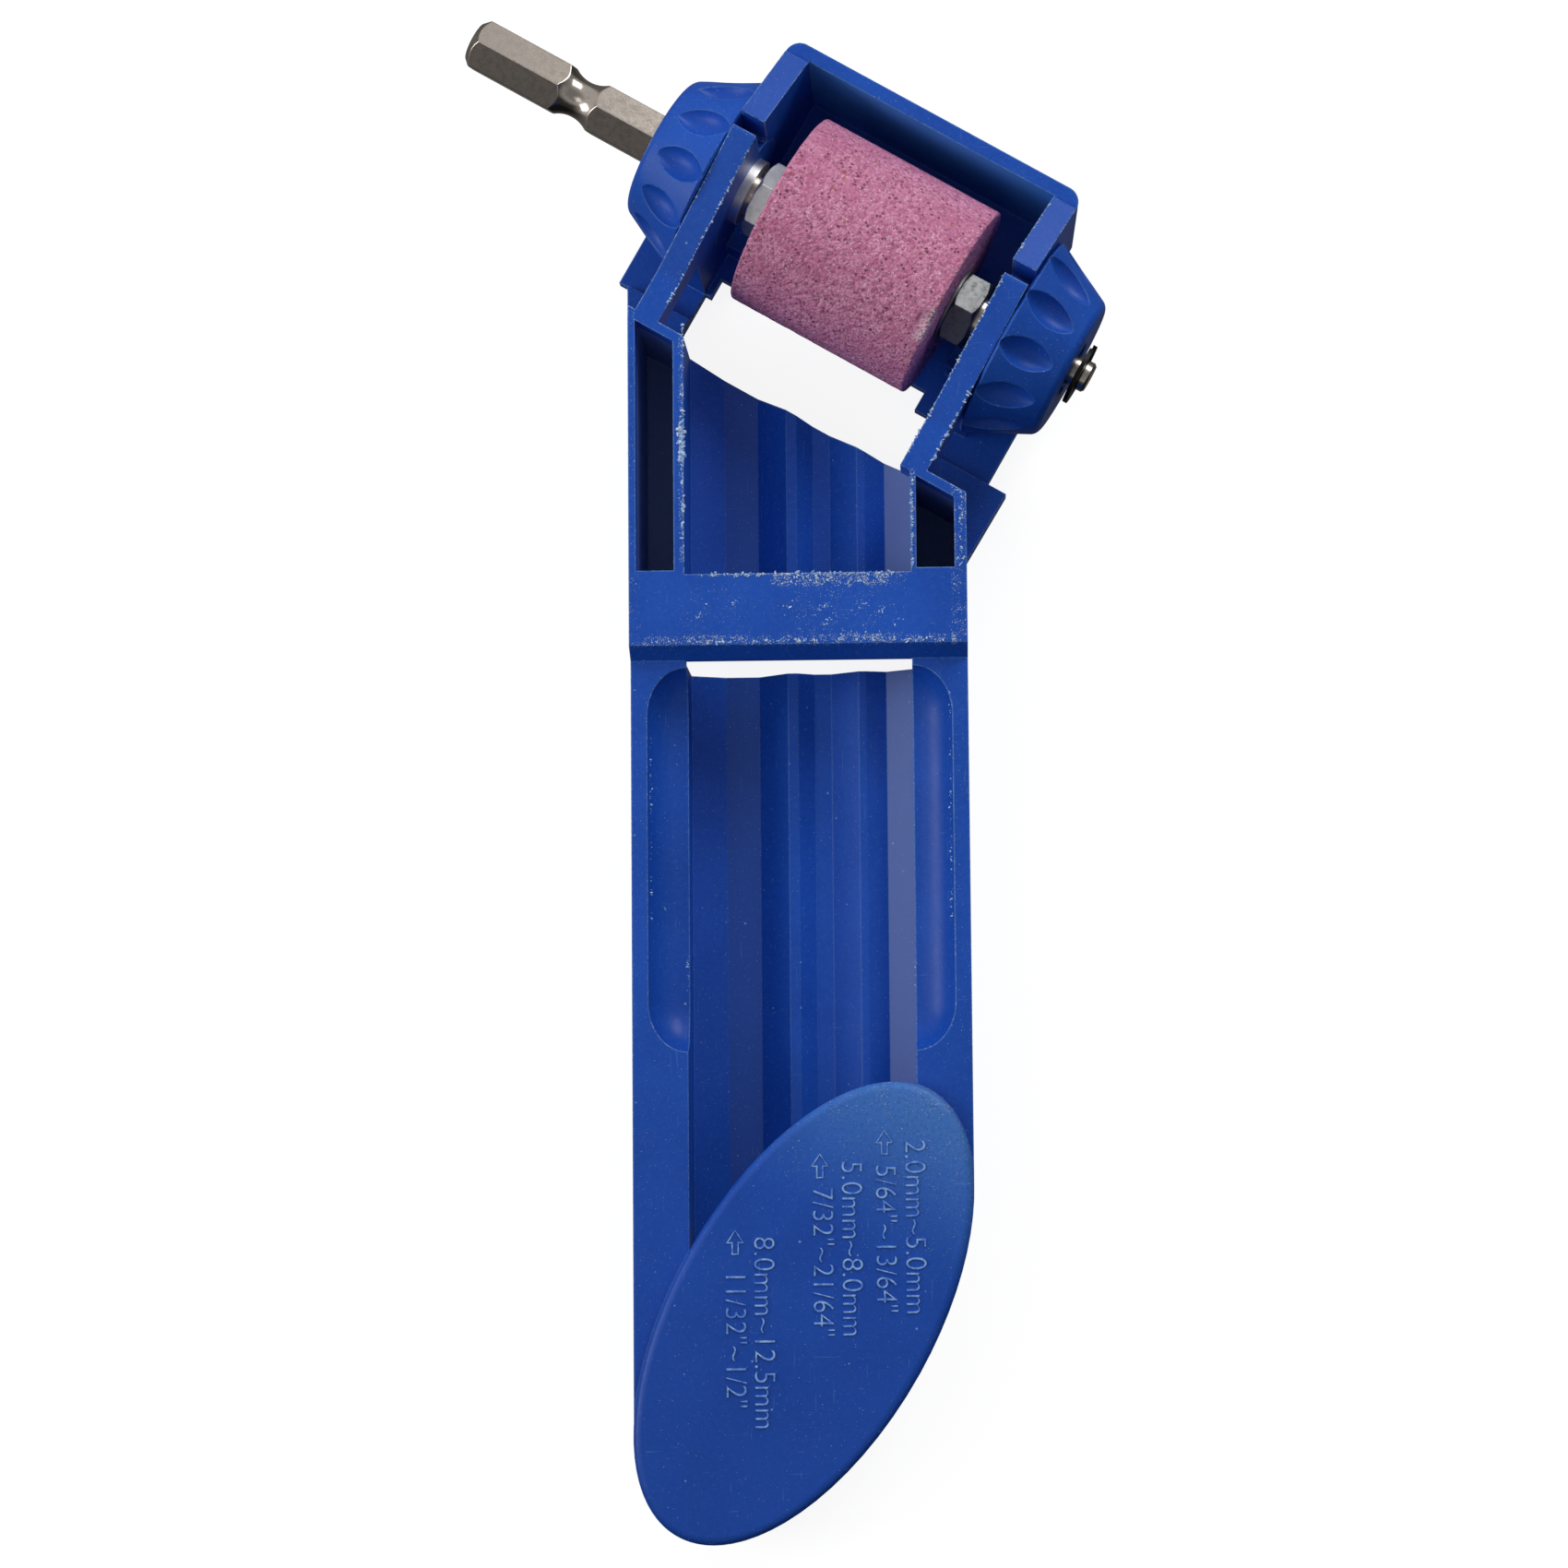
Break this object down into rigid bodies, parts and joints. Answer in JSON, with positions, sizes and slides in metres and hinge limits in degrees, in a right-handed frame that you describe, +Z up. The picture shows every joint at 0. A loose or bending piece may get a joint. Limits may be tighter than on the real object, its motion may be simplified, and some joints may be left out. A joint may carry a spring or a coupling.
{
  "type": "drill bit sharpener",
  "caption": "Drill-driven drill bit sharpener: grooved plastic trough with an oval tail, and an angled head holding an abrasive wheel on a hex-shank spindle between eccentric adjuster knobs.",
  "frame": {"origin": "centre of the overall outline, on the surface the tool lies on", "axes": "+Y along the trough from the oval tail to the grinding head, +Z up out of the open grooves, +X towards the free end of the axle"},
  "size_m": [0.0808, 0.1908, 0.0297],
  "materials": {
    "blue_plastic": "moulded, satin, scuffed at the edges",
    "knob_plastic": "moulded, satin",
    "corundum": "coarse bonded pink abrasive",
    "nickel_steel": "satin nickel plate",
    "zinc_steel": "dull zinc plate",
    "black_steel": "black oxide"
  },
  "bodies": {
    "housing": {"housing": "blue_plastic"},
    "adjuster_drive": {"knob_drive": "knob_plastic", "bush_drive": "nickel_steel"},
    "adjuster_free": {"knob_free": "knob_plastic", "bush_free": "nickel_steel"},
    "spindle": {"spindle": "nickel_steel", "grinding_wheel": "corundum", "washer_drive": "zinc_steel", "washer_free": "zinc_steel", "clamp_nut_drive": "nickel_steel", "clamp_nut_free": "zinc_steel", "e_clip": "black_steel"}
  },
  "joints": [
    {"name": "adjust_drive", "type": "hinge", "parent": "housing", "child": "adjuster_drive", "pos_m": [-0.00773, 0.07492, 0.0156], "axis": [0.866, -0.5, 0], "range_deg": [-90, 90]},
    {"name": "adjust_free", "type": "hinge", "parent": "housing", "child": "adjuster_free", "pos_m": [0.02829, 0.05412, 0.0156], "axis": [0.866, -0.5, 0], "range_deg": [-90, 90]},
    {"name": "wheel_spin", "type": "hinge", "parent": "adjuster_drive", "child": "spindle", "pos_m": [0.01028, 0.06452, 0.0167], "axis": [0.866, -0.5, 0], "continuous": true}
  ],
  "couplings": [
    {"joint": "adjust_free", "follows": "adjust_drive", "ratio": 1}
  ]
}
